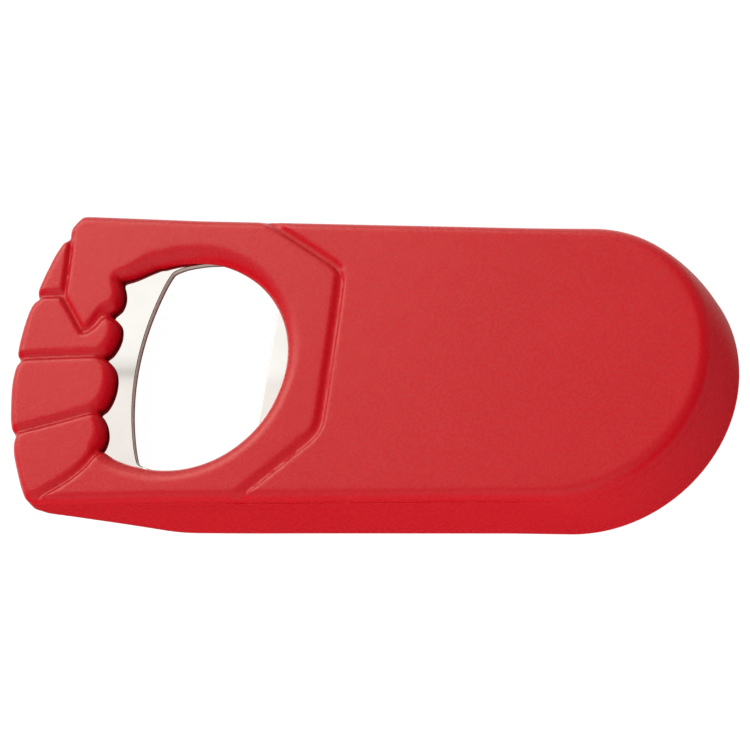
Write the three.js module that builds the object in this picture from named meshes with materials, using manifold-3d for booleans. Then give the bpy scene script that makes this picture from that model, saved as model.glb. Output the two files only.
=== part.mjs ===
// Lever bottle opener shaped as a closed fist: two moulded plastic shells that clamp a stamped
// stainless plate, held by four self-tapping screws driven from the back.
// Millimetres. +Z points out of the front face, +X runs from the fist to the round handle end,
// z = 0 is the flat back. The origin is the centre of the bounding box, at its bottom.

import * as THREE from "three";
import { mergeVertices } from "three/addons/utils/BufferGeometryUtils.js";
import Module from "manifold-3d";

const wasm = await Module();
wasm.setup();

// ---------------------------------------------------------------- driving dimensions
const X_SHIFT = -27.175;       // working frame has x = 0 at the centre of the head opening
const THICKNESS = 12.0;        // back face to front face
const SPLIT_FRONT = 10.25;     // underside of the front shell's rim
const SPLIT_BACK = 9.95;       // top of the back shell's wall
const BAND_Z = 8.4;            // lower edge of the straight band round the head
const WALL = 2.0;              // shell wall
const BACK_PROUD = 0.15;       // the back shell stands this far outside the front shell

const END_X = 59.0;            // centre of the round handle end
const END_R_FRONT = 20.67;     // its radius at the front face
const END_R_BACK = 21.5;       // its radius at the back

const HOLE_X = 0.0, HOLE_Y = -0.65, HOLE_R = 16.0;   // head opening

const POCKET_R = 17.6;         // cap pocket in the back shell, under the plate
const POCKET_FLARE = 2.5;      // how much wider it is at the back
const POCKET_LEFT = -12.5;     // its straight side under the plate's lip

const RAMP_X = -0.55, RAMP_SLOPE = 0.37, RAMP_END = -22.0;   // the back of the head rises towards the knuckles

const PLATE_TOP = 9.95, PLATE_T = 1.0;   // stainless plate
const PLATE_LEFT = -17.2, PLATE_RIGHT = 25.2, PLATE_HALF = 18.9;
const LIP_X = -7.2;            // middle of the concave lifting edge
const REST_X = 12.75;          // straight edge on the handle side

const SCREWS = [
  ["screw_cuff_upper", 20.0, 14.6],
  ["screw_cuff_lower", 20.0, -14.6],
  ["screw_end_upper", 62.0, 10.0],
  ["screw_end_lower", 62.0, -10.0],
];
const BOSS_R = 2.9, PILOT_R = 1.45, BOSS_BOTTOM = 4.6;
const SLEEVE_R = 4.1, SLEEVE_TOP = 4.3, CLEAR_R = 1.75, BORE_R = 3.3, BORE_DEPTH = 2.5;
const SCREW_HEAD_R = 2.8, SCREW_HEAD_H = 1.7, SCREW_CORE_R = 1.1, SCREW_TIP = 9.2;

// ---------------------------------------------------------------- small helpers
const V = (x, y) => [x, y];

function halfWidthFront(x) {
  return x < -1 ? 21.93 - 0.0213 * x + 0.018 * (-1 - x) : 21.93 - 0.0213 * x;
}
function halfWidthBack(x) {
  return 22.34 - 0.0151 * x;
}

// closed outline, counter-clockwise from above
function bodyOutline(half, endR, inset, leftPts) {
  const p = [];
  const n = 28;
  for (let i = 0; i <= n; i++) {
    const a = -Math.PI / 2 + (Math.PI * i) / n;
    p.push(V(END_X + (endR - inset) * Math.cos(a), (endR - inset) * Math.sin(a)));
  }
  for (const x of [45, 30, 15, 5, -5, -12]) p.push(V(x, half(x) - inset));
  for (const q of leftPts) p.push(q);
  for (const x of [-12, -5, 5, 15, 30, 45]) p.push(V(x, -half(x) + inset));
  return p;
}

// knuckle side of the fist, from the upper corner down to the lower one
const KNUCKLES = [
  V(-18.6, 22.5), V(-19.4, 22.4), V(-20.1, 21.7), V(-20.8, 20.2), V(-20.9, 18.9), V(-21.7, 18.4),
  V(-22.6, 16.9), V(-23.5, 14.6), V(-24.25, 10.9), V(-24.2, 9.9), V(-25.0, 8.7), V(-25.4, 7.0),
  V(-25.8, 3.6), V(-25.85, 0.8), V(-25.5, 0.0), V(-25.95, -1.0), V(-26.0, -3.6), V(-25.55, -8.0),
  V(-24.6, -11.3), V(-23.9, -12.1), V(-23.95, -13.4), V(-23.4, -15.4), V(-22.1, -18.4),
  V(-20.6, -21.4), V(-20.0, -22.1), V(-19.1, -22.5),
];
function signedArea(p) {
  let s = 0;
  for (let i = 0; i < p.length; i++) {
    const a = p[i], b = p[(i + 1) % p.length];
    s += a[0] * b[1] - b[0] * a[1];
  }
  return s / 2;
}
function offset(p, d) {
  // moves each corner along its mitre; d > 0 grows a counter-clockwise outline
  const out = [];
  for (let i = 0; i < p.length; i++) {
    const a = p[(i + p.length - 1) % p.length], b = p[i], c = p[(i + 1) % p.length];
    let u = [b[0] - a[0], b[1] - a[1]], v = [c[0] - b[0], c[1] - b[1]];
    const lu = Math.hypot(...u), lv = Math.hypot(...v);
    u = [u[0] / lu, u[1] / lu];
    v = [v[0] / lv, v[1] / lv];
    let n = [u[1] + v[1], -u[0] - v[0]];
    const ln = Math.hypot(...n) || 1;
    n = [n[0] / ln, n[1] / ln];
    const cos = Math.max(0.6, n[0] * u[1] - n[1] * u[0]);
    out.push(V(b[0] + (n[0] * d) / cos, b[1] + (n[1] * d) / cos));
  }
  return out;
}

// closed solid through a stack of outlines with equal point counts, lowest first
function loft(rings) {
  const n = rings[0].p.length;
  const pos = [], idx = [];
  for (const r of rings) for (const q of r.p) pos.push(q[0], q[1], r.z);
  for (let k = 0; k + 1 < rings.length; k++)
    for (let i = 0; i < n; i++) {
      const j = (i + 1) % n, a = k * n + i, b = k * n + j, c = (k + 1) * n + j, d = (k + 1) * n + i;
      idx.push(a, b, c, a, c, d);
    }
  const cap = (r, base, up) => {
    const tri = THREE.ShapeUtils.triangulateShape(r.p.map((q) => new THREE.Vector2(q[0], q[1])), []);
    for (const [a, b, c] of tri) {
      const A = r.p[a], B = r.p[b], C = r.p[c];
      const ccw = (B[0] - A[0]) * (C[1] - A[1]) - (B[1] - A[1]) * (C[0] - A[0]) > 0;
      if (ccw === up) idx.push(base + a, base + b, base + c);
      else idx.push(base + a, base + c, base + b);
    }
  };
  cap(rings[0], 0, false);
  cap(rings[rings.length - 1], (rings.length - 1) * n, true);
  const g = new THREE.BufferGeometry();
  g.setAttribute("position", new THREE.Float32BufferAttribute(pos, 3));
  g.setIndex(idx);
  return g;
}
function prism(p, z0, z1) {
  const q = signedArea(p) < 0 ? [...p].reverse() : p;
  return loft([{ p: q, z: z0 }, { p: q, z: z1 }]);
}
function solid(geometry) {
  const g = geometry.clone();
  g.deleteAttribute("normal");
  g.deleteAttribute("uv");
  const m = mergeVertices(g, 1e-5);
  return new wasm.Manifold(new wasm.Mesh({
    numProp: 3,
    vertProperties: new Float32Array(m.attributes.position.array),
    triVerts: new Uint32Array(m.index.array),
  }));
}
function toGeometry(man) {
  const m = man.getMesh();
  const g = new THREE.BufferGeometry();
  g.setAttribute("position", new THREE.BufferAttribute(new Float32Array(m.vertProperties), 3));
  g.setIndex(new THREE.BufferAttribute(new Uint32Array(m.triVerts), 1));
  const flat = g.toNonIndexed();
  flat.computeVertexNormals();
  return flat;
}
function cyl(x, y, r, z0, z1, seg = 28, rTop = r) {
  const g = new THREE.CylinderGeometry(rTop, r, z1 - z0, seg, 1);
  g.rotateX(Math.PI / 2);
  g.translate(x, y, (z0 + z1) / 2);
  return solid(g);
}
function box(x0, x1, y0, y1, z0, z1) {
  const g = new THREE.BoxGeometry(x1 - x0, y1 - y0, z1 - z0);
  g.translate((x0 + x1) / 2, (y0 + y1) / 2, (z0 + z1) / 2);
  return solid(g);
}
function circlePts(cx, cy, r, a0, a1, n) {
  const p = [];
  for (let i = 0; i <= n; i++) {
    const a = a0 + ((a1 - a0) * i) / n;
    p.push(V(cx + r * Math.cos(a), cy + r * Math.sin(a)));
  }
  return p;
}
// V groove pressed into the front face along a polyline
function groove(pts, width, depth, top = THICKNESS) {
  let out = null;
  for (let i = 0; i + 1 < pts.length; i++) {
    const [ax, ay] = pts[i], [bx, by] = pts[i + 1];
    const len = Math.hypot(bx - ax, by - ay) + 0.5 * width;
    const s = new THREE.Shape();
    s.moveTo(-width / 2 - 0.2, 0.3);
    s.lineTo(-width / 2, 0);
    s.lineTo(-width * 0.14, -depth);
    s.lineTo(width * 0.14, -depth);
    s.lineTo(width / 2, 0);
    s.lineTo(width / 2 + 0.2, 0.3);
    s.closePath();
    const g = new THREE.ExtrudeGeometry(s, { depth: len, bevelEnabled: false });
    g.translate(0, 0, -len / 2);
    g.rotateX(Math.PI / 2);                       // section in X and Z, length along Y
    g.rotateZ(Math.atan2(by - ay, bx - ax) - Math.PI / 2);
    g.translate((ax + bx) / 2, (ay + by) / 2, top);
    const m = solid(g);
    out = out ? out.add(m) : m;
  }
  return out;
}

// ---------------------------------------------------------------- front shell
const frontOutline = bodyOutline(halfWidthFront, END_R_FRONT, 0, KNUCKLES);
let front = solid(loft([
  { p: frontOutline, z: SPLIT_FRONT },
  { p: frontOutline, z: THICKNESS - 1.1 },
  { p: offset(frontOutline, -0.3), z: THICKNESS - 0.4 },
  { p: offset(frontOutline, -0.85), z: THICKNESS },
]));

// locating lip inside the back shell's wall, and the screw bosses
const lipOuter = bodyOutline(halfWidthFront, END_R_FRONT, 2.3, KNUCKLES.map((q) => V(q[0] + 2.3, q[1] * 0.9)));
const lipInner = bodyOutline(halfWidthFront, END_R_FRONT, 3.5, KNUCKLES.map((q) => V(q[0] + 3.5, q[1] * 0.84)));
const lip = solid(prism(lipOuter, 8.2, SPLIT_FRONT + 0.4))
  .subtract(solid(prism(lipInner, 7.5, SPLIT_FRONT + 1)))
  .subtract(box(-40, 27.5, -30, 30, 5, 12));
front = front.add(lip);
for (const [, x, y] of SCREWS) {
  front = front.add(cyl(x, y, BOSS_R, BOSS_BOTTOM, SPLIT_FRONT + 0.4));
}
// stiffening ribs under the handle's face
for (const y of [-7.5, 7.5]) front = front.add(box(30, 57, y - 0.6, y + 0.6, 8.6, SPLIT_FRONT + 0.4));
for (const x of [33, 45]) front = front.add(box(x - 0.6, x + 0.6, -15, 15, 8.6, SPLIT_FRONT + 0.4));
for (const [, x, y] of SCREWS) {
  front = front.subtract(cyl(x, y, PILOT_R, BOSS_BOTTOM - 1, 10.0, 20));
}

// head opening: round, with the four finger ends along its fist side
const FINGER_ENDS = [
  V(-12.1, 12.7), V(-11.3, 11.2), V(-11.0, 9.9), V(-11.4, 8.5), V(-12.2, 7.7), V(-11.2, 6.5),
  V(-10.6, 4.6), V(-10.8, 2.6), V(-12.0, 1.0), V(-11.0, -0.1), V(-10.3, -1.8), V(-10.05, -3.8),
  V(-10.35, -5.8), V(-10.9, -7.1), V(-11.5, -7.8), V(-10.7, -8.9), V(-10.05, -10.5), V(-9.95, -12.0),
  V(-10.3, -13.4),
];
const holeEdge = [
  ...FINGER_ENDS,
  ...circlePts(HOLE_X, HOLE_Y, HOLE_R, Math.PI + 0.98, 2 * Math.PI + Math.PI - 0.86, 46),
];
front = front.subtract(solid(loft([
  { p: holeEdge, z: SPLIT_FRONT - 1 },
  { p: holeEdge, z: SPLIT_FRONT + 0.15 },
  { p: offset(holeEdge, 0.35), z: THICKNESS - 0.75 },
  { p: offset(holeEdge, 0.95), z: THICKNESS - 0.18 },
  { p: offset(holeEdge, 1.35), z: THICKNESS + 0.2 },
])));

// grooves between the fingers, and the line of the cuff
const GROOVES = [
  [[V(-20.9, 20.5), V(-20.75, 17.5), V(-20.35, 10.1)], 1.2, 0.6],
  [[V(-20.2, 10.0), V(-25.6, 9.9)], 1.2, 0.6],
  [[V(-20.5, 9.6), V(-16.3, 4.3), V(-15.2, 4.6), V(-13.6, 6.9), V(-10.6, 7.3)], 1.2, 0.65],
  [[V(-27.0, -0.2), V(-20.0, 0.35), V(-15.0, 0.55), V(-10.2, 0.7)], 1.3, 0.65],
  [[V(-25.5, -12.1), V(-18.0, -10.1), V(-12.0, -8.4), V(-9.9, -8.0)], 1.3, 0.65],
  [[V(-21.2, -23.2), V(-14.8, -19.4), V(-12.3, -17.2), V(-10.0, -14.4)], 1.3, 0.65],
  [[V(10.0, 22.4), V(21.6, 15.0), V(23.0, 13.2), V(23.5, -9.7), V(22.8, -11.5), V(11.8, -22.4)], 1.3, 0.55],
];
for (const [pts, w, d] of GROOVES) front = front.subtract(groove(pts, w, d));

// ---------------------------------------------------------------- back shell
const upOutline = offset(frontOutline, BACK_PROUD);
function lowOutline(inset) {
  // same point count as upOutline, so that both can be lofted together
  const taper = (x) => (x > 10 ? 0 : ((10 - x) / 30) * 0.1);
  const p = [];
  for (const q of upOutline) {
    const [x, y] = q;
    if (x >= END_X) {
      const a = Math.atan2(y, x - END_X);
      p.push(V(END_X + (END_R_BACK - inset) * Math.cos(a), (END_R_BACK - inset) * Math.sin(a)));
    } else if (x > -13) {
      p.push(V(x, Math.sign(y) * (halfWidthBack(x) - taper(x) - inset)));
    } else {
      // pull the knuckle side in
      const k = 1 - (1.0 + inset) / 24;
      p.push(V(-2 + (x + 2) * k, y * (1 - (0.95 + inset) / 22.5)));
    }
  }
  return p;
}
let back = solid(loft([
  { p: lowOutline(1.1), z: 0 },
  { p: lowOutline(0.35), z: 0.4 },
  { p: lowOutline(0), z: 1.2 },
  { p: offset(upOutline, -0.12), z: BAND_Z - 0.3 },
  { p: upOutline, z: BAND_Z },
  { p: upOutline, z: SPLIT_BACK },
]));

// cap pocket: round, flared towards the back, straight under the plate's lip
function pocketOutline(r, left) {
  const c = Math.acos((left - HOLE_X) / r);
  return circlePts(HOLE_X, HOLE_Y * 0.4, r, -c, c, 44);
}
function pocket(grow) {
  const top = pocketOutline(POCKET_R + grow, POCKET_LEFT - grow);
  const low = pocketOutline(POCKET_R + POCKET_FLARE + grow, POCKET_LEFT - POCKET_FLARE - grow);
  const h = 9.0;
  const below = pocketOutline(POCKET_R + POCKET_FLARE * (1 + 1 / h) + grow, POCKET_LEFT - POCKET_FLARE * (1 + 1 / h) - grow);
  const above = pocketOutline(POCKET_R - (POCKET_FLARE * 2) / h + grow, POCKET_LEFT + (POCKET_FLARE * 2) / h - grow);
  return solid(loft([{ p: below, z: -1 }, { p: low, z: 0 }, { p: top, z: h }, { p: above, z: h + 2 }]));
}

// hollow of the handle, kept clear of the pocket's wall
const cavityOutline = bodyOutline(halfWidthFront, END_R_FRONT, WALL, KNUCKLES.map((q) => V(q[0] + 3, q[1] * 0.9)));
const cavity = solid(prism(cavityOutline, WALL, 12)).subtract(box(-40, 9, -30, 30, 0, 14)).subtract(pocket(WALL));
back = back.subtract(cavity);

// screw sleeves and the supports of the plate's handle end
for (const [, x, y] of SCREWS) back = back.add(cyl(x, y, SLEEVE_R, 0.6, SLEEVE_TOP));
const PLATE_BOTTOM = PLATE_TOP - PLATE_T;
back = back.add(box(23.4, 25.0, -9.5, 9.5, 1.0, PLATE_BOTTOM - 0.3));
for (const y of [-7.5, 7.5]) back = back.add(box(25, 56, y - 0.6, y + 0.6, 1.0, 4.4));
for (const [, x, y] of SCREWS) {
  back = back.subtract(cyl(x, y, CLEAR_R, -1, 8, 20)).subtract(cyl(x, y, BORE_R, -1, BORE_DEPTH, 28));
}
back = back.subtract(pocket(0));

// the back of the head rises to the knuckles
{
  const s = new THREE.Shape();
  s.moveTo(RAMP_X + 8, -3);
  s.lineTo(RAMP_X + 5, 0);
  s.lineTo(RAMP_X - 1.5, 0.5);
  s.lineTo(RAMP_END, (RAMP_X - RAMP_END) * RAMP_SLOPE);
  s.lineTo(-40, (RAMP_X - RAMP_END) * RAMP_SLOPE + 1.0);
  s.lineTo(-40, -3);
  s.closePath();
  const g = new THREE.ExtrudeGeometry(s, { depth: 60, bevelEnabled: false });
  g.rotateX(Math.PI / 2);
  g.translate(0, 30, 0);
  back = back.subtract(solid(g));
}

// seat of the plate
function plateOutline(grow) {
  const x0 = PLATE_LEFT - grow, x1 = PLATE_RIGHT + grow, h = PLATE_HALF + grow, c = 3.0, f = 5.0;
  return [
    V(x1 - c, -h + 1), V(x1, -h + 1 + c), V(x1, h - 1 - c), V(x1 - c, h - 1), V(8, h), V(x0 + f, h - 0.4),
    V(x0 + 1.2, h - 5.4), V(x0, 6), V(x0, -6), V(x0 + 1.2, -h + 5.4), V(x0 + f, -h + 0.4), V(8, -h),
  ];
}
back = back.subtract(solid(prism(plateOutline(0.3), PLATE_BOTTOM - 0.3, 14)));

// ---------------------------------------------------------------- stainless plate
const CHAMFER = 0.35;
const lipCurve = [];
for (let i = 0; i <= 16; i++) {
  const y = 14.4 - (29.6 * i) / 16;      // concave lifting edge, from its upper to its lower corner
  lipCurve.push(V(LIP_X + ((y + 0.9) * (y + 0.9)) / 80, y));
}
const opening = [
  V(-2.3, 15.2), V(-4.2, 14.4), ...lipCurve.slice(1, -1), V(-4.6, -15.3), V(-3.4, -16.1),
  V(2.0, -17.2), V(8.0, -16.4), V(REST_X - 1.6, -14.6), V(REST_X, -12.9),
  V(REST_X, 11.8), V(REST_X - 1.6, 13.4), V(8.0, 14.9), V(3.0, 15.35), V(0.3, 15.4),
].reverse();
const ccwOpening = signedArea(opening) < 0 ? [...opening].reverse() : opening;
let plate = solid(prism(plateOutline(0), PLATE_BOTTOM, PLATE_TOP));
plate = plate.subtract(solid(loft([
  { p: ccwOpening, z: PLATE_BOTTOM - 1 },
  { p: ccwOpening, z: PLATE_TOP - CHAMFER },
  { p: offset(ccwOpening, CHAMFER), z: PLATE_TOP },
  { p: offset(ccwOpening, CHAMFER), z: PLATE_TOP + 1 },
])));
for (const [, x, y] of SCREWS.slice(0, 2)) plate = plate.subtract(cyl(x, y, BOSS_R + 0.35, 0, 12, 28));

// ---------------------------------------------------------------- screws
function screw(x, y) {
  const z0 = BORE_DEPTH - 0.3 - SCREW_HEAD_H;
  const p = [
    [0, z0], [1.6, z0], [2.4, z0 + 0.25], [SCREW_HEAD_R, z0 + 0.8], [SCREW_HEAD_R, z0 + SCREW_HEAD_H],
    [SCREW_CORE_R, z0 + SCREW_HEAD_H], [SCREW_CORE_R, SCREW_TIP - 1.4], [0.5, SCREW_TIP], [0, SCREW_TIP],
  ].map((q) => new THREE.Vector2(q[0], q[1]));
  const g = new THREE.LatheGeometry(p, 20);
  g.rotateX(Math.PI / 2);
  g.translate(x, y, 0);
  let m = solid(g);
  for (const a of [Math.PI / 4, -Math.PI / 4]) {
    const b = new THREE.BoxGeometry(3.0, 0.7, 1.8);
    b.rotateZ(a);
    b.translate(x, y, z0);
    m = m.subtract(solid(b));
  }
  return m;
}

// ---------------------------------------------------------------- scene graph
const red = () => new THREE.MeshStandardMaterial({ color: 0xd0242c, roughness: 0.55, metalness: 0 });
const steel = (rough) => new THREE.MeshStandardMaterial({ color: 0xd9d6d2, roughness: rough, metalness: 1 });

const root = new THREE.Group();
root.name = "bottle_opener";
function put(name, man, material) {
  const mesh = new THREE.Mesh(toGeometry(man), material);
  mesh.name = name;
  mesh.position.set(X_SHIFT, 0, 0);
  root.add(mesh);
}
put("front_shell", front, red());
put("back_shell", back, red());
put("lifter_plate", plate, steel(0.2));
for (const [name, x, y] of SCREWS) put(name, screw(x, y), steel(0.35));

export default root;
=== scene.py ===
import math

import bmesh
import bpy
import numpy as np
from mathutils import Matrix, Vector


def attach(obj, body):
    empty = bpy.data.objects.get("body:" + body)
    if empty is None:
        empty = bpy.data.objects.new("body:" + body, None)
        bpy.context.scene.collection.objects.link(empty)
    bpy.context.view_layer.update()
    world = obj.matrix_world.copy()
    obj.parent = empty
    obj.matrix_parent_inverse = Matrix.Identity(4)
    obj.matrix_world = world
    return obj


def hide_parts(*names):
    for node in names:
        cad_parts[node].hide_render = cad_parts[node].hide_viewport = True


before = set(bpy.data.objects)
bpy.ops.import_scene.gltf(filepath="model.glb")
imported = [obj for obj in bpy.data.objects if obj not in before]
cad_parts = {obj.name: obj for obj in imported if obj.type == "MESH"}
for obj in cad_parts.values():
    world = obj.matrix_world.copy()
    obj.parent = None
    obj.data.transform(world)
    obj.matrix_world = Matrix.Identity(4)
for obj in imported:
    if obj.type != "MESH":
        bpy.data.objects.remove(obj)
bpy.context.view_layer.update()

X_SHIFT = -27.175
TOP = 12.0
SPLIT_F, SPLIT_B = 10.06, 10.04
BAND_Z = 8.4
END_X, END_RF, END_RB = 59.0, 20.67, 21.65
HX, HY, HR = 0.0, -0.65, 16.0
PLATE_TOP, PLATE_T = 9.95, 1.0
SCREWS = [("screw_cuff_upper", 20.0, 14.6), ("screw_cuff_lower", 20.0, -14.6),
          ("screw_end_upper", 62.0, 10.0), ("screw_end_lower", 62.0, -10.0)]


# ------------------------------------------------------------------ 2-D helpers
def chaikin(p, n=2, closed=False):
    p = np.asarray(p, float)
    for _ in range(n):
        a, b = (p, np.roll(p, -1, 0)) if closed else (p[:-1], p[1:])
        q = np.empty((2 * len(a), 2))
        q[0::2] = 0.75 * a + 0.25 * b
        q[1::2] = 0.25 * a + 0.75 * b
        p = q if closed else np.vstack([p[:1], q, p[-1:]])
    return p


def resample(p, step, closed=False):
    p = np.asarray(p, float)
    if closed:
        p = np.vstack([p, p[:1]])
    s = np.r_[0, np.cumsum(np.hypot(*np.diff(p, axis=0).T))]
    n = max(2, int(round(s[-1] / step)))
    t = np.linspace(0, s[-1], n + 1)
    q = np.c_[np.interp(t, s, p[:, 0]), np.interp(t, s, p[:, 1])]
    return q[:-1] if closed else q


def arc(cx, cy, r, a0, a1, n):
    a = np.linspace(a0, a1, n)
    return np.c_[cx + r * np.cos(a), cy + r * np.sin(a)]


STEP2 = 0.15
GX = np.arange(-29.0, 83.0, STEP2).astype(np.float32)
GY = np.arange(-25.0, 25.01, STEP2).astype(np.float32)


def seg_dist2(p, closed):
    """Squared distance to a polyline on the 2-D grid, and the crossing parity if it is closed."""
    X, Y = GX[:, None], GY[None, :]
    best = np.full((len(GX), len(GY)), 1e9, np.float32)
    odd = np.zeros(best.shape, bool)
    q = np.vstack([p, p[:1]]) if closed else p
    for (ax, ay), (bx, by) in zip(q[:-1].astype(np.float32), q[1:].astype(np.float32)):
        dx, dy = bx - ax, by - ay
        l2 = dx * dx + dy * dy
        if l2 < 1e-12:
            continue
        t = np.clip(((X - ax) * dx + (Y - ay) * dy) / l2, 0, 1)
        d = (X - ax - t * dx) ** 2 + (Y - ay - t * dy) ** 2
        np.minimum(best, d, out=best)
        if closed and ay != by:
            rows = (GY > min(ay, by)) & (GY <= max(ay, by))
            if rows.any():
                xc = ax + (GY[rows] - ay) * dx / dy
                odd[:, rows] ^= X < xc[None, :]
    return best, odd


def poly_field(p):
    d2, odd = seg_dist2(p, True)
    d = np.sqrt(d2)
    return np.where(odd, -d, d)


def line_field(p):
    return np.sqrt(seg_dist2(np.asarray(p, float), False)[0])


def blur(a, n=1):
    for _ in range(n):
        for ax in (0, 1):
            lo, hi = np.roll(a, 1, ax), np.roll(a, -1, ax)
            sl = [slice(None)] * 2
            sl[ax] = slice(0, 1)
            lo[tuple(sl)] = a[tuple(sl)]
            sl[ax] = slice(-1, None)
            hi[tuple(sl)] = a[tuple(sl)]
            a = 0.25 * lo + 0.5 * a + 0.25 * hi
    return a


def look(a, x, y):
    u = np.clip((x - GX[0]) / STEP2, 0, len(GX) - 1.001)
    v = np.clip((y - GY[0]) / STEP2, 0, len(GY) - 1.001)
    i, j = u.astype(int), v.astype(int)
    u, v = u - i, v - j
    return ((a[i, j] * (1 - u) + a[i + 1, j] * u) * (1 - v)
            + (a[i, j + 1] * (1 - u) + a[i + 1, j + 1] * u) * v)


def sstep(a, b, x):
    t = np.clip((x - a) / (b - a), 0, 1)
    return t * t * (3 - 2 * t)


def smax(a, b, k):
    h = np.clip(0.5 + 0.5 * (a - b) / k, 0, 1)
    return b + (a - b) * h + k * h * (1 - h)


def smin(a, b, k):
    return -smax(-a, -b, k)


def round_and(a, b, r):
    """Intersection of two half-spaces with the common edge rounded to radius r."""
    a, b = a + r, b + r
    return np.hypot(np.maximum(a, 0), np.maximum(b, 0)) + np.minimum(np.maximum(a, b), 0) - r


# ------------------------------------------------------------------ outlines
def half_front(x):
    return 21.93 - 0.0213 * x + (0.018 * (-1 - x) if x < -1 else 0)


def half_back(x):
    return 22.40 - 0.0151 * x


# knuckle side of the fist from the upper corner down, dips between the fingers included
LEFT = [(-17.6, 22.60), (-19.0, 22.64), (-19.6, 22.52), (-20.0, 22.15), (-20.55, 21.5), (-20.98, 20.85), (-21.15, 20.3),
        (-21.12, 19.6), (-21.05, 19.0), (-21.35, 18.72), (-21.95, 18.45), (-22.25, 17.9), (-22.7, 17.0), (-23.1, 16.1), (-23.4, 15.1),
        (-23.7, 14.15), (-24.0, 13.2), (-24.25, 12.2), (-24.5, 11.3), (-24.6, 10.3), (-24.5, 9.85), (-24.2, 9.42),
        (-24.75, 8.95), (-25.1, 8.4), (-25.4, 7.5), (-25.6, 6.5), (-25.72, 5.6), (-25.85, 4.6), (-25.92, 3.7),
        (-26.0, 2.7), (-26.02, 1.6), (-26.0, 0.8), (-25.9, 0.3), (-25.5, -0.1), (-25.4, -0.6), (-25.75, -1.0),
        (-25.95, -2.0), (-26.0, -3.4), (-25.92, -4.8), (-25.8, -5.8), (-25.5, -7.7), (-25.2, -9.5), (-24.9, -10.5),
        (-24.6, -11.3), (-24.15, -11.85), (-23.85, -12.3), (-24.0, -13.2), (-23.85, -14.2), (-23.6, -15.2),
        (-23.25, -16.1), (-22.9, -17.0), (-22.5, -17.95), (-22.1, -18.9), (-21.7, -19.8), (-21.25, -20.7),
        (-20.75, -21.6), (-20.1, -22.2), (-19.2, -22.5), (-18.2, -22.6), (-17.0, -22.55)]
UP = np.vstack([arc(END_X, 0, END_RF, -math.pi / 2, math.pi / 2, 72),
                [(x, half_front(x)) for x in (50, 30, 10, -1, -12)], chaikin(LEFT, 1),
                [(x, -half_front(x)) for x in (-12, -1, 10, 30, 50)]])


def taper(x):
    return 0 if x > 10 else (10 - x) / 30 * 0.22


LEFT_LOW = [(-17.4, 22.3), (-18.6, 22.15), (-19.6, 21.1), (-20.4, 19.7), (-22.0, 16.4), (-23.6, 11.8), (-24.7, 6.2),
            (-25.15, 1.0), (-25.1, -3.6), (-24.5, -8.2), (-23.3, -12.8), (-21.6, -17.6), (-20.3, -20.5), (-19.5, -21.4),
            (-18.6, -22.15), (-17.2, -22.35)]
LOW = np.vstack([arc(END_X, 0, END_RB, -math.pi / 2, math.pi / 2, 72),
                 [(x, half_back(x) - taper(x)) for x in (50, 30, 12, 4, -4, -12)], chaikin(LEFT_LOW, 2),
                 [(x, -half_back(x) + taper(x)) for x in (-12, -4, 4, 12, 30, 50)]])

# head opening at the foot of its wall: finger ends, then the round part, then the thumb's web
def hole_arc(n=110):
    th = np.radians(np.linspace(234.0, 471.0, n))
    dr = np.interp(np.degrees(th), [234, 240, 247, 256, 270, 300, 325, 345, 400, 425, 440, 455, 463, 471],
                   [0.72, 0.68, 0.50, 0.30, 0.26, 0.28, 0.16, -0.10, -0.14, -0.02, 0.18, 0.26, 0.38, 0.50])
    return np.c_[HX + (HR + dr) * np.cos(th), HY + (HR + dr) * np.sin(th)]


HOLE = np.vstack([
    chaikin([(-11.95, 12.62), (-11.85, 12.2), (-11.45, 11.4), (-11.2, 10.4), (-11.2, 9.5), (-11.45, 8.6), (-11.85, 7.95),
             (-12.35, 7.4), (-12.5, 7.1), (-12.3, 6.9), (-11.6, 6.5), (-11.1, 6.0), (-10.8, 5.2), (-10.68, 4.0),
             (-10.9, 2.9), (-11.3, 1.9), (-11.95, 0.95), (-12.4, 0.5), (-12.3, 0.35), (-11.6, -0.1), (-10.95, -0.7),
             (-10.45, -1.5), (-10.1, -2.8), (-10.05, -4.0), (-10.15, -5.1), (-10.5, -6.4), (-11.1, -7.45),
             (-11.7, -7.95), (-11.6, -8.15), (-11.1, -8.7), (-10.45, -9.7), (-10.05, -10.8), (-9.9, -11.7),
             (-9.98, -12.6), (-10.25, -13.5), (-10.5, -14.0), (-10.2, -14.15)], 1),
    hole_arc(),
    chaikin([(-6.6, 14.72), (-7.2, 14.45), (-7.8, 14.2), (-8.4, 13.92), (-9.0, 13.64), (-9.6, 13.38), (-10.2, 13.14),
             (-10.8, 12.94), (-11.4, 12.8)], 1)])

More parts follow.
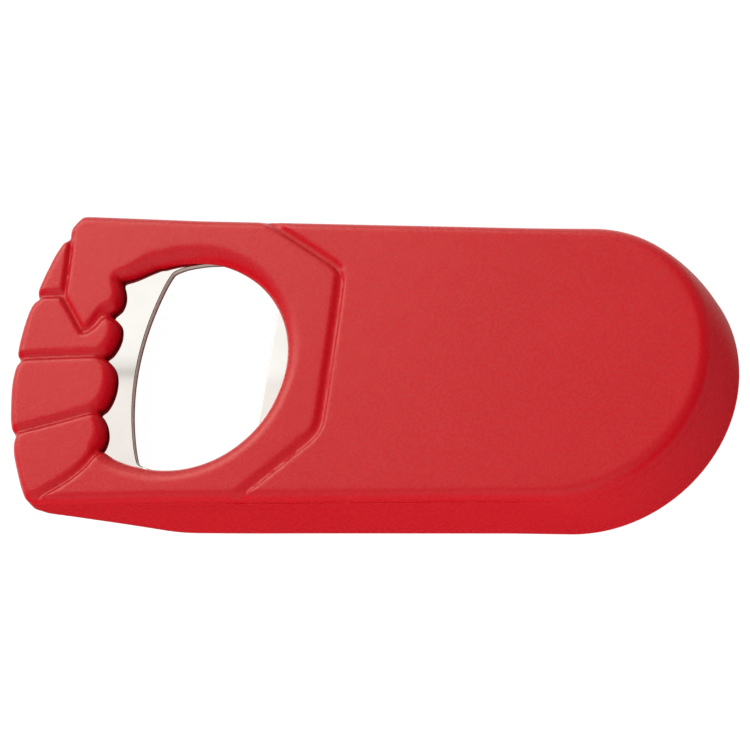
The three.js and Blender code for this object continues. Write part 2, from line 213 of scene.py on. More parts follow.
GROOVES = [   # centre line, half width at the face, depth
    ([(-20.6, 19.0), (-20.5, 18.0), (-20.3, 15.0), (-20.12, 11.0), (-20.1, 9.9)], 0.44, 0.66),
    ([(-20.2, 9.95), (-22.5, 9.85), (-26.0, 9.75)], 0.60, 0.74),
    ([(-20.4, 9.9), (-19.9, 9.2), (-17.8, 6.4), (-16.6, 4.75), (-16.1, 4.2), (-15.5, 4.2)], 0.52, 0.74),
    ([(-27.5, -0.15), (-22.0, 0.22), (-15.0, 0.5), (-11.5, 0.62)], 0.62, 0.84),
    ([(-25.8, -12.1), (-22.0, -11.1), (-18.0, -9.98), (-14.0, -8.75), (-12.6, -8.35), (-11.0, -8.05)], 0.62, 0.84),
    ([(-22.5, -24.0), (-20.2, -22.75), (-17.5, -21.1), (-14.9, -19.4), (-13.2, -17.95), (-12.2, -16.9), (-11.3, -15.6),
      (-10.6, -14.5), (-10.2, -13.9)], 0.64, 0.82),
    # cuff line: a V whose wall on the fist side, or the outer side of the upper arm, is the wider one
    ([(6.8, 23.1), (20.4, 15.06), (21.7, 14.1), (22.55, 12.9), (22.85, 11.4), (23.4, -8.3), (23.3, -10.6), (22.55, -12.0),
      (21.3, -13.3), (10.5, -23.6)], 0.44, 0.60),
    ([(10.6, 21.3), (12.6, 20.05), (20.7, 15.3), (22.1, 14.2)], 0.50, 0.46),
    ([(22.3, 12.6), (22.5, 11.2), (23.02, -8.3), (22.92, -10.4), (22.15, -11.75), (20.9, -13.0), (10.2, -23.3)], 0.66, 0.50),
]
WIDE = [(-16.1, 4.2), (-15.3, 4.55), (-14.6, 5.5), (-14.0, 6.6), (-13.3, 7.35), (-12.4, 7.35), (-11.4, 6.8)]

D_UP, D_LOW, D_HOLE = (blur(poly_field(p)) for p in (UP, LOW, HOLE))


def dip(d, w, depth):
    """Depth of a pressed V line at distance d from its centre, with soft lips and a soft bottom."""
    d = np.sqrt(d * d + 0.10 ** 2) - 0.04
    v = depth * (1 - d / (w * 1.12))
    k = 0.16
    return np.maximum(smax(v, np.zeros_like(v), k) - 0.25 * k * np.exp(-((d / (w * 1.12) - 1) / 0.3) ** 2), 0)


D_GROOVE = np.zeros_like(D_UP)
for pts, w, depth in GROOVES:
    D_GROOVE = np.maximum(D_GROOVE, dip(line_field(chaikin(pts, 2)), w, depth))
# the thumb stands above the finger beside it, so its line opens out towards the opening
_t = sstep(-16.0, -12.6, GX)[:, None] * np.ones_like(D_UP)
_d = line_field(chaikin(WIDE, 2))
D_GROOVE = np.maximum(D_GROOVE, dip(_d, 0.62 + 0.42 * _t, 0.82 + 0.35 * _t))
D_GROOVE = blur(D_GROOVE, 1)


def pocket_poly(r, left):
    c = math.acos((left - HX) / r)
    return arc(HX, HY * 0.4, r, -c, c, 90)


D_POCKET = poly_field(chaikin(pocket_poly(17.6, -12.5), 1, True))


def plate_outline(grow=0.0):
    x0, x1, h, c, f = -17.2 - grow, 25.2 + grow, 18.9 + grow, 3.0, 5.0
    return np.array([(x1 - c, -h + 1), (x1, -h + 1 + c), (x1, h - 1 - c), (x1 - c, h - 1), (8, h), (x0 + f, h - 0.4),
                     (x0 + 1.2, h - 5.4), (x0, 6), (x0, -6), (x0 + 1.2, -h + 5.4), (x0 + f, -h + 0.4), (8, -h)])


D_SEAT = poly_field(plate_outline(0.3))


# ------------------------------------------------------------------ 3-D shapes
def front_f(x, y, z):
    do, dh, g = look(D_UP, x, y), look(D_HOLE, x, y), look(D_GROOVE, x, y)
    # the round end has draft from the face down
    fo = round_and(do - 0.2 * sstep(48.0, 64.0, x) * (TOP - z), z - TOP, 1.3)
    # the opening's rim is rounder along its plain part than at the finger ends
    s = sstep(-12.5, -7.5, x) * np.ones_like(dh)
    wide = 1.50 + 0.95 * s
    tall = 1.70 + 0.12 * s
    fh = round_and(-dh * (tall / wide), z - TOP, tall)
    f = np.maximum(fo, fh)
    f = f + g * (0.12 + 0.88 * sstep(10.9, 11.75, z))
    f = np.maximum(f, SPLIT_F - z)
    # small clip that shows under the rim
    cx, cy = x - 7.75, y - 13.95
    t, n = cx * 0.866 - cy * 0.5, cx * 0.5 + cy * 0.866
    clip = np.maximum(np.hypot(np.maximum(np.abs(t) - 0.95, 0), n - 0.25) - 0.42, np.maximum(z - 11.0, SPLIT_F - z))
    f = smin(f, clip, 0.15)
    # behind the face: locating lip, screw bosses
    lip = np.maximum(np.maximum(np.abs(do + 2.9) - 0.6, 8.2 - z), np.maximum(z - 10.6, 27.5 - x))
    f = np.minimum(f, lip)
    for _, sx, sy in SCREWS:
        r = np.hypot(x - sx, y - sy)
        boss = np.maximum(np.maximum(r - 2.9, 4.6 - z), z - 10.6)
        f = np.minimum(f, boss)
        f = np.maximum(f, np.minimum(r * 0 + 50, -np.maximum(r - 1.45, z - 9.8)))
    return f


def back_f(x, y, z):
    # the wall stands a little proud of the face moulding along the handle, not round the fist or the end
    end = sstep(48.0, 64.0, x)
    proud = 0.01 + 0.09 * sstep(5.0, 14.0, x) * (1 - sstep(54.0, 64.0, x)) + 0.38 * end
    du, dl = look(D_UP, x, y) - proud, look(D_LOW, x, y)
    head = 1 - sstep(7.0, 23.0, x)
    tb = np.clip((BAND_Z - z) / (BAND_Z - 1.2), 0, 1.2)
    th = np.clip((SPLIT_B - z) / (SPLIT_B - 1.2), 0, 1.2)
    crease = 0.16 * sstep(0.0, 0.16, BAND_Z - z)
    side = head * (du + crease + (dl - du - crease) * tb) + (1 - head) * (du + (dl - du) * th)
    ramp = np.minimum((0.37 * (-0.55 - x) - z) / 1.066, 7.94 + 0.056 * (-22.0 - x) - z)
    low = smax(-z, ramp, 0.9)
    side = side - 0.28 * end * 4 * th * (1 - np.minimum(th, 1))
    f = round_and(side, low, 0.75)
    f = np.maximum(f, round_and(side, z - SPLIT_B, 0.10))
    # cap pocket
    dp = look(D_POCKET, x, y)
    cone = (2.5 * (9 - z) / 9 - dp) * 0.963
    f = round_and(f, cone, 0.45)
    # hollow of the handle
    hollow = np.maximum(np.maximum(du + 2.15, 2 - z), np.maximum(9 - x, cone + 2.0))
    f = np.maximum(f, -hollow)
    for _, sx, sy in SCREWS:
        r = np.hypot(x - sx, y - sy)
        f = np.minimum(f, np.maximum(np.maximum(r - 4.1, 0.6 - z), z - 4.3))
    # seat of the plate
    f = np.maximum(f, -np.maximum(look(D_SEAT, x, y), PLATE_TOP - PLATE_T - 0.05 - z))
    for _, sx, sy in SCREWS:
        r = np.hypot(x - sx, y - sy)
        f = round_and(f, -np.maximum(r - 3.3, z - 2.5), 0.18)
        f = np.maximum(f, -np.maximum(r - 1.75, z - 6))
    return f


# ------------------------------------------------------------------ dual contouring
def gradient(fn, p, e=0.012):
    g = np.empty_like(p)
    for a in range(3):
        d = np.zeros(3)
        d[a] = e
        hi, lo = p + d, p - d
        g[:, a] = (fn(hi[:, 0], hi[:, 1], hi[:, 2]) - fn(lo[:, 0], lo[:, 1], lo[:, 2])) / (2 * e)
    return g


def contour(fn, xs, ys, zs):
    xs, ys, zs = (np.asarray(a, float) for a in (xs, ys, zs))
    F = fn(xs[:, None, None], ys[None, :, None], zs[None, None, :])
    F = np.broadcast_to(F, (len(xs), len(ys), len(zs))).copy()
    F[F == 0] = 1e-6
    cells = (len(xs) - 1, len(ys) - 1, len(zs) - 1)
    axes = (xs, ys, zs)
    pts, nrm, quads, flips = [], [], [], []
    for a in range(3):
        b, c = (a + 1) % 3, (a + 2) % 3
        lo = [slice(None)] * 3
        hi = [slice(None)] * 3
        lo[a], hi[a] = slice(0, -1), slice(1, None)
        A, B = F[tuple(lo)], F[tuple(hi)]
        ch = (A < 0) != (B < 0)
        idx = np.argwhere(ch)
        keep = (idx[:, b] > 0) & (idx[:, b] < len(axes[b]) - 1) & (idx[:, c] > 0) & (idx[:, c] < len(axes[c]) - 1)
        idx = idx[keep]
        i0 = tuple(idx.T)
        fa, fb = A[i0], B[i0]
        p0 = np.c_[xs[idx[:, 0]], ys[idx[:, 1]], zs[idx[:, 2]]]
        p1 = p0.copy()
        p1[:, a] = axes[a][idx[:, a] + 1]
        t0, t1, f0, f1 = np.zeros(len(idx)), np.ones(len(idx)), fa.copy(), fb.copy()
        t = f0 / (f0 - f1)
        for it in range(5):
            q = p0 + (p1 - p0) * t[:, None]
            f = fn(q[:, 0], q[:, 1], q[:, 2])
            left = (f < 0) == (f0 < 0)
            t0, f0 = np.where(left, t, t0), np.where(left, f, f0)
            t1, f1 = np.where(left, t1, t), np.where(left, f1, f)
            lin = t0 + (t1 - t0) * np.clip(f0 / (f0 - f1 + 1e-15), 0.02, 0.98)
            t = lin if it % 2 == 0 else 0.5 * (t0 + t1)
        q = p0 + (p1 - p0) * t[:, None]
        g = gradient(fn, q)
        g /= np.linalg.norm(g, axis=1)[:, None] + 1e-12
        pts.append(q)
        nrm.append(g)
        four = []
        for ob, oc in ((1, 1), (0, 1), (0, 0), (1, 0)):
            cc = idx.copy()
            cc[:, b] -= ob
            cc[:, c] -= oc
            four.append(np.ravel_multi_index(tuple(cc.T), cells))
        quads.append(np.stack(four, 1))
        flips.append(fa > 0)
    P, N, Q, fl = np.vstack(pts), np.vstack(nrm), np.vstack(quads), np.concatenate(flips)
    used, inv = np.unique(Q.ravel(), return_inverse=True)
    inv = inv.reshape(Q.shape)
    n = len(used)
    cnt = np.zeros(n)
    mass = np.zeros((n, 3))
    ata = np.zeros((n, 6))
    atb = np.zeros((n, 3))
    for k in range(4):
        v = inv[:, k]
        cnt += np.bincount(v, minlength=n)
        for a in range(3):
            mass[:, a] += np.bincount(v, P[:, a], n)
    mass /= cnt[:, None]
    for k in range(4):
        v = inv[:, k]
        r = np.einsum("ij,ij->i", N, P - mass[v])
        for m, (a, b) in enumerate(((0, 0), (0, 1), (0, 2), (1, 1), (1, 2), (2, 2))):
            ata[:, m] += np.bincount(v, N[:, a] * N[:, b], n)
        for a in range(3):
            atb[:, a] += np.bincount(v, N[:, a] * r, n)
    M = np.empty((n, 3, 3))
    M[:, 0, 0], M[:, 0, 1], M[:, 0, 2] = ata[:, 0], ata[:, 1], ata[:, 2]
    M[:, 1, 0], M[:, 1, 1], M[:, 1, 2] = ata[:, 1], ata[:, 3], ata[:, 4]
    M[:, 2, 0], M[:, 2, 1], M[:, 2, 2] = ata[:, 2], ata[:, 4], ata[:, 5]
    w, U = np.linalg.eigh(M)
    inv_w = np.where(w > 0.06 * w[:, 2:3], 1 / np.maximum(w, 1e-9), 0)
    sol = np.einsum("nij,nj,nkj,nk->ni", U, inv_w, U, atb)
    V = mass + sol
    # keep each vertex in its own cell
    ci = np.stack(np.unravel_index(used, cells), 1)
    lo = np.c_[xs[ci[:, 0]], ys[ci[:, 1]], zs[ci[:, 2]]]
    hi = np.c_[xs[ci[:, 0] + 1], ys[ci[:, 1] + 1], zs[ci[:, 2] + 1]]
    pad = 0.02 * (hi - lo)
    V = np.clip(V, lo + pad, hi - pad)
    # settle on the surface
    for _ in range(3):
        f = fn(V[:, 0], V[:, 1], V[:, 2])
        g = gradient(fn, V)
        g2 = np.maximum((g * g).sum(1), 0.25)
        V = np.clip(V - (f / g2)[:, None] * g, lo + 0.5 * pad, hi - 0.5 * pad)
    faces = inv.copy()
    faces[fl] = faces[fl][:, ::-1]
    return V, faces


def drop_bits(V, faces, keep=1):
    """Labels the connected pieces of surface and counts the faces of each."""
    lab = np.arange(len(V))
    for _ in range(4000):
        m = lab[faces].min(1)
        new = lab.copy()
        for k in range(4):
            np.minimum.at(new, faces[:, k], m)
        new = new[new]
        if (new == lab).all():
            break
        lab = new
    ids, n = np.unique(lab[faces[:, 0]], return_counts=True)
    return ids, n, lab


def to_mesh(name, V, faces, sharp=32.0):
    me = bpy.data.meshes.new(name)
    P = V.copy()
    P[:, 0] += X_SHIFT
    P *= 0.001
    me.vertices.add(len(P))
    me.vertices.foreach_set("co", P.astype(np.float32).ravel())
    me.loops.add(faces.size)
    me.loops.foreach_set("vertex_index", faces.astype(np.int32).ravel())
    me.polygons.add(len(faces))
    me.polygons.foreach_set("loop_start", np.arange(0, faces.size, 4, dtype=np.int32))
    me.update(calc_edges=True)
    me.validate()
    me.polygons.foreach_set("use_smooth", np.ones(len(me.polygons), bool))
    me.set_sharp_from_angle(angle=math.radians(sharp))
    o = bpy.data.objects.new(name, me)
    bpy.context.scene.collection.objects.link(o)
    return o


def lines(*parts):
    """Grid lines from (start, stop, step) runs."""
    out = []
    for a, b, s in parts:
        n = max(1, int(round((b - a) / s)))
        out.append(np.linspace(a, b, n + 1)[:-1])
    out.append([parts[-1][1]])
    return np.concatenate(out)


JX, JY = 0.013, 0.017      # keeps the grid off the outline's own symmetry lines
fx = lines((-26.9, 26.0, 0.31), (26.0, 76.0, 0.5), (76.0, 80.9, 0.33)) + JX
fy = lines((-23.2, 23.2, 0.305)) + JY
fz = lines((4.25, 8.0, 0.5), (8.0, 9.5, 0.3), (9.5, 10.07, 0.19), (10.07, 12.17, 0.15))
V, Q = contour(front_f, fx, fy, fz)
front = to_mesh("front_moulding", V, Q)

bx = lines((-27.2, 24.0, 0.4), (24.0, 76.0, 0.55), (76.0, 81.2, 0.4)) + JX
by = lines((-23.4, 23.4, 0.4)) + JY
bz = lines((-0.25, 1.5, 0.25), (1.5, 7.95, 0.5), (7.95, 8.75, 0.1), (8.75, 9.75, 0.25), (9.75, 10.15, 0.08))
V, Q = contour(back_f, bx, by, bz)
back = to_mesh("back_moulding", V, Q)


# ------------------------------------------------------------------ stainless plate
def offset_loop(p, d):
    """Closed counter-clockwise loop moved outwards by d along its corner mitres."""
    a, c = np.roll(p, 1, 0), np.roll(p, -1, 0)
    u, v = p - a, c - p
    u /= np.linalg.norm(u, axis=1)[:, None]
    v /= np.linalg.norm(v, axis=1)[:, None]
    n = np.c_[u[:, 1] + v[:, 1], -u[:, 0] - v[:, 0]]
    n /= np.linalg.norm(n, axis=1)[:, None]
    cs = np.maximum(0.5, n[:, 0] * u[:, 1] - n[:, 1] * u[:, 0])
    return p + n * (d / cs)[:, None]


def area2(p):
    q = np.roll(p, -1, 0)
    return (p[:, 0] * q[:, 1] - q[:, 0] * p[:, 1]).sum()


def ccw(p):
    return p if area2(p) > 0 else p[::-1].copy()


lip = [(-7.42 + (y + 0.9) ** 2 / 80, y) for y in np.linspace(13.6, -15.0, 26)]
OPENING = [(-2.3, 15.1), (-3.5, 14.65), (-4.25, 14.3), (-4.55, 13.95)] + lip[1:-1] + [
    (-4.75, -15.35), (-4.45, -15.75), (-3.6, -16.15), (-2.2, -16.6), (2.0, -17.2), (8.0, -16.4), (11.2, -14.8), (12.3, -14.0), (12.75, -12.9),
    (12.75, 11.6), (12.3, 12.9), (11.2, 13.6), (8.0, 14.95), (5.6, 15.45), (3.1, 15.65), (0.4, 15.55)]
opening = resample(chaikin(ccw(np.array(OPENING)), 1, True), 0.35, True)
outline = resample(chaikin(ccw(plate_outline()), 2, True), 0.6, True)


def plate_mesh(name):
    z1, z0 = PLATE_TOP, PLATE_TOP - PLATE_T
    bm = bmesh.new()
    mats = []

    def ring(p, z):
        return [bm.verts.new(((x + X_SHIFT) / 1000, y / 1000, z / 1000)) for x, y in p]

    def band(r0, r1, mat, flip):
        n = len(r0)
        for i in range(n):
            j = (i + 1) % n
            f = bm.faces.new((r0[i], r0[j], r1[j], r1[i]) if not flip else (r0[j], r0[i], r1[i], r1[j]))
            f.material_index = mat
            f.smooth = True

    # opening: rolled upper corner, sheared wall with a fracture band, small burr chamfer below; the rolled corner and
    # upper wall are painted peach as a painted highlight, the lower wall and burr near black as painted shade
    prof = [(0.20, z1, 0), (0.10, z1 - 0.02, 0), (0.03, z1 - 0.06, 2), (0.0, z1 - 0.12, 2), (0.0, z1 - 0.55, 2),
            (0.02, z1 - 0.60, 1), (0.05, z0 + 0.10, 1), (0.02, z0 + 0.04, 1), (0.12, z0, 1)]
    prev = None
    rings = []
    for k, (d, z, m) in enumerate(prof):
        r = ring(offset_loop(opening, d), z)
        rings.append(r)
        if prev:
            band(prev, r, m, False)
        prev = r
    # outline, its walls painted near black as painted shade
    prof2 = [(-0.2, z1), (-0.06, z1 - 0.05), (0.0, z1 - 0.2), (0.0, z0 + 0.15), (-0.12, z0)]
    prev = None
    rings2 = []
    for d, z in prof2:
        r = ring(offset_loop(outline, d), z)
        rings2.append(r)
        if prev:
            band(prev, r, 1, True)
        prev = r
    bm.edges.ensure_lookup_table()

    def cap(inner, outer, up):
        es = []
        for loop in (inner, outer):
            for i in range(len(loop)):
                es.append(bm.edges.get((loop[i], loop[(i + 1) % len(loop)])))
        res = bmesh.ops.triangle_fill(bm, use_beauty=True, edges=es)
        for f in res["geom"]:
            if isinstance(f, bmesh.types.BMFace):
                f.material_index = 0
                f.smooth = False
                f.normal_update()
                if (f.normal.z > 0) != up:
                    f.normal_flip()

    cap(rings[0], rings2[0], True)
    cap(rings[-1], rings2[-1], False)
    me = bpy.data.meshes.new(name)
    bm.to_mesh(me)
    bm.free()
    me.set_sharp_from_angle(angle=math.radians(40))
    for p in me.polygons:
        if abs(p.normal.z) > 0.9999:
            p.use_smooth = False
    o = bpy.data.objects.new(name, me)
    bpy.context.scene.collection.objects.link(o)
    return o


plate = plate_mesh("stainless_plate")


# ------------------------------------------------------------------ screws
def screw_f(x, y, z):
    z0 = 0.5
    r = np.hypot(x, y)
    th = np.arctan2(y, x)
    # pan head with a crowned top, which faces down
    head = np.maximum(r - 2.8, z - 2.2)
    crown = np.hypot(r, (z - 5.4)) - 4.92
    f = round_and(head, crown, 0.25)
    # thread-forming shank with a tapering point
    pitch = 1.05
    ph = np.mod(z / pitch - th / (2 * math.pi), 1.0)
    crest = np.maximum(0, 1 - np.abs(ph - 0.5) / 0.17) * sstep(2.4, 2.9, z) * (1 - sstep(8.0, 9.0, z))
    core = 1.02 - 0.6 * sstep(7.4, 9.2, z)
    shank = np.maximum(np.maximum(r - core - 0.32 * crest, 2.1 - z), z - 9.2)
    f = np.minimum(f, shank)
    # cross recess that narrows with depth
    c, s = math.cos(math.pi / 4), math.sin(math.pi / 4)
    u, v = np.abs(c * x + s * y), np.abs(-s * x + c * y)
    t = (z - z0) / 1.15
    w = 0.42 - 0.12 * t
    ln = 1.62 - 0.75 * t
    cross = np.minimum(np.maximum(u - ln, v - w), np.maximum(v - ln, u - w))
    f = np.maximum(f, -np.maximum(cross, z - z0 - 1.2))
    return f


sx_ = lines((-3.05, 3.05, 0.17)) + 0.011
sz_ = lines((0.2, 2.4, 0.14), (2.4, 9.4, 0.15))
SV, SQ = contour(screw_f, sx_, sx_, sz_)
screws = []
for name, x, y in SCREWS:
    P = SV.copy()
    P[:, 0] += x
    P[:, 1] += y
    screws.append((name, to_mesh(name + "_turned", P, SQ, 38)))


# ------------------------------------------------------------------ materials
def material(name):
    m = bpy.data.materials.new(name)
    m.use_nodes = True
    nt = m.node_tree
    b = nt.nodes["Principled BSDF"]
    return m, nt, b


def node(nt, kind, **kw):
    n = nt.nodes.new(kind)
    for k, v in kw.items():
        setattr(n, k, v)
    return n


def noise(nt, coord, scale, detail=2.0, rough=0.5, dist=0.0):
    n = node(nt, "ShaderNodeTexNoise")
    n.inputs["Scale"].default_value = scale
    n.inputs["Detail"].default_value = detail
    n.inputs["Roughness"].default_value = rough
    n.inputs["Distortion"].default_value = dist
    nt.links.new(coord, n.inputs["Vector"])
    return n


def remap(nt, val, a, b, c, d):
    n = node(nt, "ShaderNodeMapRange")
    for k, v in zip(("From Min", "From Max", "To Min", "To Max"), (a, b, c, d)):
        n.inputs[k].default_value = v
    nt.links.new(val, n.inputs["Value"])
    return n.outputs["Result"]


def mix(nt, fac, c1, c2):
    n = node(nt, "ShaderNodeMix", data_type="RGBA")
    if isinstance(fac, float):
        n.inputs["Factor"].default_value = fac
    else:
        nt.links.new(fac, n.inputs["Factor"])
    for k, c in ((6, c1), (7, c2)):
        if isinstance(c, tuple):
            n.inputs[k].default_value = (*c, 1)
        else:
            nt.links.new(c, n.inputs[k])
    return n.outputs[2]


def plastic(name):
    m, nt, b = material(name)
    tc = node(nt, "ShaderNodeTexCoord").outputs["Object"]
    cloud = noise(nt, tc, 60, 3.0, 0.55)
    fine = noise(nt, tc, 1500, 2.0, 0.6)
    grain = noise(nt, tc, 3600, 2.0, 0.55)
    c = mix(nt, remap(nt, cloud.outputs["Fac"], 0.3, 0.7, 0, 1), (0.670, 0.0018, 0.0100), (0.695, 0.0028, 0.0124))
    c = mix(nt, remap(nt, fine.outputs["Fac"], 0.35, 0.75, 0.0, 0.35), c, (0.645, 0.0017, 0.0088))
    # convex edges are painted a little paler as a painted highlight along them
    geo = node(nt, "ShaderNodeNewGeometry")
    painted_edge_highlight = remap(nt, geo.outputs["Pointiness"], 0.58, 0.70, 0.0, 0.30)
    c = mix(nt, painted_edge_highlight, c, (0.72, 0.009, 0.017))
    nt.links.new(c, b.inputs["Base Color"])
    nt.links.new(remap(nt, fine.outputs["Fac"], 0.25, 0.75, 0.24, 0.31), b.inputs["Roughness"])
    b.inputs["IOR"].default_value = 1.47
    b.inputs["Specular IOR Level"].default_value = 0.5
    bump = node(nt, "ShaderNodeBump")
    bump.inputs["Strength"].default_value = 0.32
    bump.inputs["Distance"].default_value = 0.0001
    nt.links.new(grain.outputs["Fac"], bump.inputs["Height"])
    nt.links.new(bump.outputs["Normal"], b.inputs["Normal"])
    return m


def steel(name, col, rough, aniso_scale=(900, 26000, 900), strength=0.04, metal=1.0):
    m, nt, b = material(name)
    tc = node(nt, "ShaderNodeTexCoord").outputs["Object"]
    mp = node(nt, "ShaderNodeMapping")
    mp.inputs["Scale"].default_value = aniso_scale
    nt.links.new(tc, mp.inputs["Vector"])
    lines_ = noise(nt, mp.outputs["Vector"], 1.0, 3.0, 0.6)
    cloud = noise(nt, tc, 180, 3.0, 0.6)
    c = mix(nt, remap(nt, cloud.outputs["Fac"], 0.3, 0.7, 0, 1), col, tuple(v * 0.95 for v in col))
    nt.links.new(c, b.inputs["Base Color"])
    b.inputs["Metallic"].default_value = metal
    nt.links.new(remap(nt, lines_.outputs["Fac"], 0.3, 0.7, rough * 0.85, rough * 1.2), b.inputs["Roughness"])
    if strength > 0:
        bump = node(nt, "ShaderNodeBump")
        bump.inputs["Strength"].default_value = strength
        bump.inputs["Distance"].default_value = 0.00004
        nt.links.new(lines_.outputs["Fac"], bump.inputs["Height"])
        nt.links.new(bump.outputs["Normal"], b.inputs["Normal"])
    return m


RED = plastic("red_moulding")
PLATE = steel("polished_stainless", (0.585, 0.576, 0.563), 0.035, strength=0.0)
# steel edge walls: near black as painted shade, and a peach tint as a painted highlight on the rolled corner and upper
# wall
PAINTED_SHADE_EDGE = steel("edge_wall_painted_shade", (0.13, 0.105, 0.085), 0.5, (3000, 3000, 500), 0.3, 0.0)
PAINTED_HIGHLIGHT_EDGE = steel("upper_edge_painted_highlight", (0.66, 0.52, 0.45), 0.35, (3000, 3000, 500), 0.1, 0.15)
ZINC = steel("zinc_plating", (0.62, 0.63, 0.64), 0.32, (5000, 5000, 5000), 0.15)

front.data.materials.append(RED)
back.data.materials.append(RED)
plate.data.materials.append(PLATE)
plate.data.materials.append(PAINTED_SHADE_EDGE)
plate.data.materials.append(PAINTED_HIGHLIGHT_EDGE)
for piece, nodes, slot in ((front, ["front_shell"], "shell_plastic"), (back, ["back_shell"], "shell_plastic"),
                           (plate, ["lifter_plate"], "plate_steel")):
    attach(piece, "root")
    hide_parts(*nodes)
for name, o in screws:
    o.data.materials.append(ZINC)
    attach(o, "root")
    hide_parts(name)
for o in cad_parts.values():
    kind = RED if "shell" in o.name else PLATE if "plate" in o.name else ZINC
    for s in o.material_slots:
        s.material = kind

# ------------------------------------------------------------------ floor, light, camera
fm, nt, b = material("pale_floor")
tc = node(nt, "ShaderNodeTexCoord").outputs["Object"]
n = noise(nt, tc, 4, 3, 0.5)
c = mix(nt, remap(nt, n.outputs["Fac"], 0.3, 0.7, 0, 1), (0.12, 0.12, 0.12), (0.13, 0.13, 0.13))
nt.links.new(c, b.inputs["Base Color"])
b.inputs["Roughness"].default_value = 0.9
b.inputs["Specular IOR Level"].default_value = 0.1
b.inputs["Emission Color"].default_value = (1, 1, 1, 1)
b.inputs["Emission Strength"].default_value = 0.97
me = bpy.data.meshes.new("floor")
S = 6.0
me.from_pydata([(-S, -S, -0.0002), (S, -S, -0.0002), (S, S, -0.0002), (-S, S, -0.0002)], [], [(0, 1, 2, 3)])
floor = bpy.data.objects.new("floor", me)
bpy.context.scene.collection.objects.link(floor)
me.materials.append(fm)
floor.visible_glossy = False
if hasattr(fm, "cycles"):
    fm.cycles.emission_sampling = "NONE"

world = bpy.data.worlds.new("studio")
bpy.context.scene.world = world
world.use_nodes = True
nt = world.node_tree
bg = nt.nodes["Background"]
tcw = node(nt, "ShaderNodeTexCoord").outputs["Generated"]
sep = node(nt, "ShaderNodeSeparateXYZ")
nt.links.new(tcw, sep.inputs[0])
side = node(nt, "ShaderNodeVectorMath", operation="DOT_PRODUCT")
side.inputs[1].default_value = (-0.707, 0.707, 0.0)
nt.links.new(tcw, side.inputs[0])


def ramp_of(stops):
    r = node(nt, "ShaderNodeValToRGB")
    els = r.color_ramp.elements
    (_, a), (_, z) = stops[0], stops[-1]
    els[0].color, els[1].color = (a, a, a, 1), (z, z * 0.96, z * 0.88, 1)
    for at, v in stops[1:-1]:
        els.new(at).color = (v, v * 0.96, v * 0.88, 1)
    nt.links.new(side01, r.inputs["Fac"])
    return r.outputs["Color"]


# bright towards the back left, dark towards the front right, above and below the horizon
side01 = remap(nt, side.outputs["Value"], -1, 1, 0, 1)
high = ramp_of([(0.0, 0.012), (0.55, 0.018), (0.70, 0.05), (0.80, 0.18), (0.90, 0.90), (1.0, 1.3)])
low = ramp_of([(0.0, 0.010), (0.60, 0.022), (0.72, 0.25), (0.82, 0.80), (1.0, 1.3)])
up = remap(nt, sep.outputs["Z"], -0.03, 0.03, 0.0, 1.0)
nt.links.new(mix(nt, up, low, high), bg.inputs["Color"])
bg.inputs["Strength"].default_value = 1.0


def area(name, pos, target, size, radiance, color=(1, 1, 1), gloss=True, diffuse=True):
    """Softbox of the given radiance; one that only shapes the sheen, or only the shading, has the other switched off."""
    L = bpy.data.lights.new(name, "AREA")
    L.shape = "RECTANGLE"
    L.size, L.size_y = size
    L.energy = radiance * math.pi * size[0] * size[1]
    L.color = color
    o = bpy.data.objects.new(name, L)
    o.location = pos
    o.rotation_euler = (Vector(target) - Vector(pos)).to_track_quat("-Z", "Y").to_euler()
    bpy.context.scene.collection.objects.link(o)
    o.visible_glossy = gloss
    o.visible_diffuse = diffuse
    o.visible_camera = False
    return o


# broad soft panels that only shade: azimuth and elevation in degrees, radiance
for k, (az, el, rad) in enumerate(((270, 45, 0.58), (210, 65, 0.58), (240, 45, 0.50), (90, 8, 0.60), (270, 25, 0.44),
                                   (180, 65, 0.40), (0, 65, 0.30), (270, 8, 0.42), (330, 65, 0.10), (55, 10, 0.45))):
    a, e = math.radians(az), math.radians(el)
    p = Vector((math.cos(a) * math.cos(e), math.sin(a) * math.cos(e), math.sin(e))) * 1.4
    area("panel_%d" % k, p, (0, 0, 0), (1.6, 1.6), rad, gloss=False)
# overhead cards that the face and the plate mirror; the seam between them is the soft grey band on the plate
CARD_Z = 0.400
WARM, PALE, ROSE = (1.0, 0.95, 0.80), (1.0, 0.985, 0.955), (1.0, 0.945, 0.915)
for name, x0, x1, y0, y1, rad, col in (
        ("card_far", -0.685, -0.185, 0.203, 0.55, 3.4, WARM), ("card_a", -0.685, -0.185, 0.1734, 0.203, 1.54, PALE),
        ("seam_a", -0.685, -0.205, 0.1712, 0.1734, 1.35, PALE), ("seam_b", -0.685, -0.205, 0.1693, 0.1712, 0.72, ROSE),
        ("seam_c", -0.205, -0.185, 0.1693, 0.1734, 1.60, PALE), ("card_b", -0.685, -0.185, 0.148, 0.1693, 1.42, ROSE),
        ("card_near", -0.685, -0.185, 0.03, 0.148, 0.15, ROSE)):
    cx, cy = (x0 + x1) / 2, (y0 + y1) / 2
    area(name, (cx, cy, CARD_Z), (cx, cy, 0), (x1 - x0, y1 - y0), rad, col, diffuse=False)

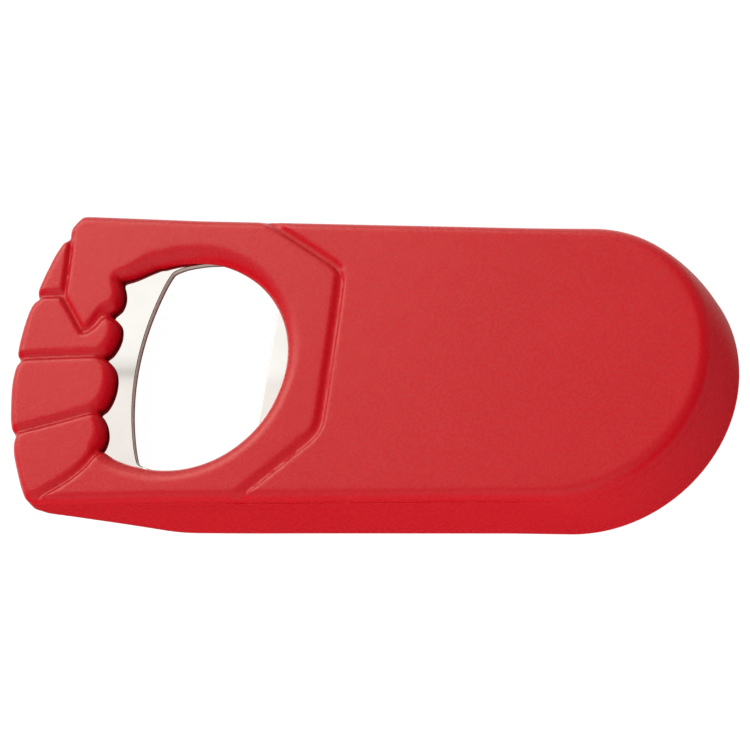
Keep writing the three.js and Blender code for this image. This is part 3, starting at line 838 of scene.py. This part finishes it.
# pale backdrop all round, seen only by the camera
bm_, nt_, b_ = material("backdrop")
b_.inputs["Base Color"].default_value = (0, 0, 0, 1)
b_.inputs["Roughness"].default_value = 1.0
b_.inputs["Specular IOR Level"].default_value = 0.0
b_.inputs["Emission Color"].default_value = (1, 1, 1, 1)
b_.inputs["Emission Strength"].default_value = 1.0
if hasattr(bm_, "cycles"):
    bm_.cycles.emission_sampling = "NONE"
me = bpy.data.meshes.new("backdrop")
ring_ = [(3.0 * math.cos(k * math.pi / 32), 3.0 * math.sin(k * math.pi / 32)) for k in range(64)]
me.from_pydata([(x, y, z) for z in (-0.05, 8.0) for x, y in ring_], [],
               [(k, 64 + k, 64 + (k + 1) % 64, (k + 1) % 64) for k in range(64)])
backdrop = bpy.data.objects.new("backdrop", me)
bpy.context.scene.collection.objects.link(backdrop)
me.materials.append(bm_)
backdrop.visible_glossy = backdrop.visible_diffuse = backdrop.visible_shadow = backdrop.visible_transmission = False

# camera: position and turn in the row frame, metres
AZ, EL, ROLL = 0.7816396572502413, 1.0156963693859022, -0.6931161388765681
PX_MM, U0, V0, DIST = 7.000031502697033, 180.3774023719656, 357.6553973354706, 1200.0
d = np.array([math.sin(AZ) * math.cos(EL), -math.cos(AZ) * math.cos(EL), math.sin(EL)])
right = np.cross([0, 0, 1.0], d)
right /= np.linalg.norm(right)
upv = np.cross(d, right)
r = math.cos(ROLL) * right + math.sin(ROLL) * upv
u = -math.sin(ROLL) * right + math.cos(ROLL) * upv
xr, yr = (U0 - 375) / PX_MM, -(V0 - 375) / PX_MM
pos = np.array([X_SHIFT, 0, 12.0]) - xr * r - yr * u + DIST * d
cam_data = bpy.data.cameras.new("camera")
cam_data.sensor_width = 36.0
cam_data.lens = PX_MM * DIST / 750 * 36.0
cam_data.clip_start, cam_data.clip_end = 0.05, 20.0
cam = bpy.data.objects.new("camera", cam_data)
R = Matrix(((r[0], u[0], d[0]), (r[1], u[1], d[1]), (r[2], u[2], d[2])))
cam.matrix_world = Matrix.Translation(Vector(pos / 1000)) @ R.to_4x4()
bpy.context.scene.collection.objects.link(cam)
bpy.context.scene.camera = cam

vs = bpy.context.scene.view_settings
vs.view_transform = "Standard"
vs.look = "None"
vs.exposure = 0.0
vs.gamma = 1.0

print("FACES", {o.name: len(o.data.polygons) for o in (front, back, plate, screws[0][1])})
